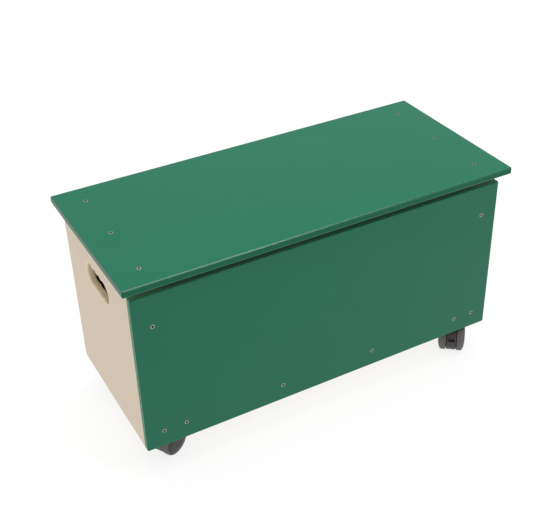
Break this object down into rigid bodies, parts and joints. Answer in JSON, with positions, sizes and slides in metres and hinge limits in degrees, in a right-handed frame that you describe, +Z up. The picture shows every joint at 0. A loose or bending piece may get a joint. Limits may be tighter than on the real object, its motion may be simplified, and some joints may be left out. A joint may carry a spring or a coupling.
{
  "type": "wooden toy box",
  "caption": "Low rectangular toy box on swivelling twin-wheel casters, with green front and lid, pale side panels with scalloped hand holes, and a lift-off lid located by cleats.",
  "frame": {"origin": "on the floor, under the centre of the box's footprint", "axes": "+X along the box's length, to the right seen from the front; +Y from the front panel to the back panel; +Z up"},
  "size_m": [0.936, 0.418, 0.516],
  "materials": {
    "green_board": "green melamine-faced board, satin",
    "maple_board": "maple-coloured melamine-faced board, satin",
    "pine_batten": "planed, clear lacquer",
    "beech_dowel": "plain turned",
    "nickel_screw": "nickel plated",
    "zinc_screw": "zinc plated",
    "caster_steel": "zinc plated pressed steel",
    "hood_nylon": "moulded, fine texture",
    "wheel_nylon": "moulded, satin",
    "tyre_rubber": "moulded, matt"
  },
  "bodies": {
    "root": {"front_panel": "green_board", "back_panel": "green_board", "left_side_panel": "maple_board", "right_side_panel": "maple_board", "bottom_panel": "maple_board", "front_left_post": "pine_batten", "front_right_post": "pine_batten", "back_left_post": "pine_batten", "back_right_post": "pine_batten", "left_caster_batten": "maple_board", "right_caster_batten": "maple_board", "front_panel_screws": "nickel_screw", "back_panel_screws": "nickel_screw", "post_screws": "zinc_screw", "batten_screws": "zinc_screw", "side_dowels": "beech_dowel", "front_left_caster_plate": "caster_steel", "front_left_caster_plate_screws": "zinc_screw", "front_left_caster_stem": "caster_steel", "front_right_caster_plate": "caster_steel", "front_right_caster_plate_screws": "zinc_screw", "front_right_caster_stem": "caster_steel", "back_left_caster_plate": "caster_steel", "back_left_caster_plate_screws": "zinc_screw", "back_left_caster_stem": "caster_steel", "back_right_caster_plate": "caster_steel", "back_right_caster_plate_screws": "zinc_screw", "back_right_caster_stem": "caster_steel"},
    "lid": {"lid_panel": "green_board", "left_lid_cleat": "pine_batten", "right_lid_cleat": "pine_batten", "lid_screws": "nickel_screw"},
    "front_left_caster": {"front_left_caster_hood": "hood_nylon", "front_left_caster_axle": "caster_steel"},
    "front_left_left_wheel": {"front_left_caster_left_wheel": "wheel_nylon", "front_left_caster_left_tyre": "tyre_rubber"},
    "front_left_right_wheel": {"front_left_caster_right_wheel": "wheel_nylon", "front_left_caster_right_tyre": "tyre_rubber"},
    "front_right_caster": {"front_right_caster_hood": "hood_nylon", "front_right_caster_axle": "caster_steel"},
    "front_right_left_wheel": {"front_right_caster_left_wheel": "wheel_nylon", "front_right_caster_left_tyre": "tyre_rubber"},
    "front_right_right_wheel": {"front_right_caster_right_wheel": "wheel_nylon", "front_right_caster_right_tyre": "tyre_rubber"},
    "back_left_caster": {"back_left_caster_hood": "hood_nylon", "back_left_caster_axle": "caster_steel"},
    "back_left_left_wheel": {"back_left_caster_left_wheel": "wheel_nylon", "back_left_caster_left_tyre": "tyre_rubber"},
    "back_left_right_wheel": {"back_left_caster_right_wheel": "wheel_nylon", "back_left_caster_right_tyre": "tyre_rubber"},
    "back_right_caster": {"back_right_caster_hood": "hood_nylon", "back_right_caster_axle": "caster_steel"},
    "back_right_left_wheel": {"back_right_caster_left_wheel": "wheel_nylon", "back_right_caster_left_tyre": "tyre_rubber"},
    "back_right_right_wheel": {"back_right_caster_right_wheel": "wheel_nylon", "back_right_caster_right_tyre": "tyre_rubber"}
  },
  "joints": [
    {"name": "lid_lift", "type": "slide", "parent": "root", "child": "lid", "axis": [0, 0, 1], "range_m": [0, 0.3]},
    {"name": "front_left_swivel", "type": "hinge", "parent": "root", "child": "front_left_caster", "pos_m": [-0.401, -0.135, 0.0905], "axis": [0, 0, 1], "continuous": true},
    {"name": "front_left_left_wheel_spin", "type": "hinge", "parent": "front_left_caster", "child": "front_left_left_wheel", "pos_m": [-0.37913, -0.12288, 0.0375], "axis": [-0.4848, 0.8746, 0], "continuous": true},
    {"name": "front_left_right_wheel_spin", "type": "hinge", "parent": "front_left_caster", "child": "front_left_right_wheel", "pos_m": [-0.37913, -0.12288, 0.0375], "axis": [-0.4848, 0.8746, 0], "continuous": true},
    {"name": "front_right_swivel", "type": "hinge", "parent": "root", "child": "front_right_caster", "pos_m": [0.401, -0.135, 0.0905], "axis": [0, 0, 1], "continuous": true},
    {"name": "front_right_left_wheel_spin", "type": "hinge", "parent": "front_right_caster", "child": "front_right_left_wheel", "pos_m": [0.38527, -0.15443, 0.0375], "axis": [0.7771, -0.6293, 0], "continuous": true},
    {"name": "front_right_right_wheel_spin", "type": "hinge", "parent": "front_right_caster", "child": "front_right_right_wheel", "pos_m": [0.38527, -0.15443, 0.0375], "axis": [0.7771, -0.6293, 0], "continuous": true},
    {"name": "back_left_swivel", "type": "hinge", "parent": "root", "child": "back_left_caster", "pos_m": [-0.401, 0.135, 0.0905], "axis": [0, 0, 1], "continuous": true},
    {"name": "back_left_left_wheel_spin", "type": "hinge", "parent": "back_left_caster", "child": "back_left_left_wheel", "pos_m": [-0.37834, 0.14556, 0.0375], "axis": [-0.4226, 0.9063, 0], "continuous": true},
    {"name": "back_left_right_wheel_spin", "type": "hinge", "parent": "back_left_caster", "child": "back_left_right_wheel", "pos_m": [-0.37834, 0.14556, 0.0375], "axis": [-0.4226, 0.9063, 0], "continuous": true},
    {"name": "back_right_swivel", "type": "hinge", "parent": "root", "child": "back_right_caster", "pos_m": [0.401, 0.135, 0.0905], "axis": [0, 0, 1], "continuous": true},
    {"name": "back_right_left_wheel_spin", "type": "hinge", "parent": "back_right_caster", "child": "back_right_left_wheel", "pos_m": [0.37935, 0.1475, 0.0375], "axis": [-0.5, -0.866, 0], "continuous": true},
    {"name": "back_right_right_wheel_spin", "type": "hinge", "parent": "back_right_caster", "child": "back_right_right_wheel", "pos_m": [0.37935, 0.1475, 0.0375], "axis": [-0.5, -0.866, 0], "continuous": true}
  ]
}
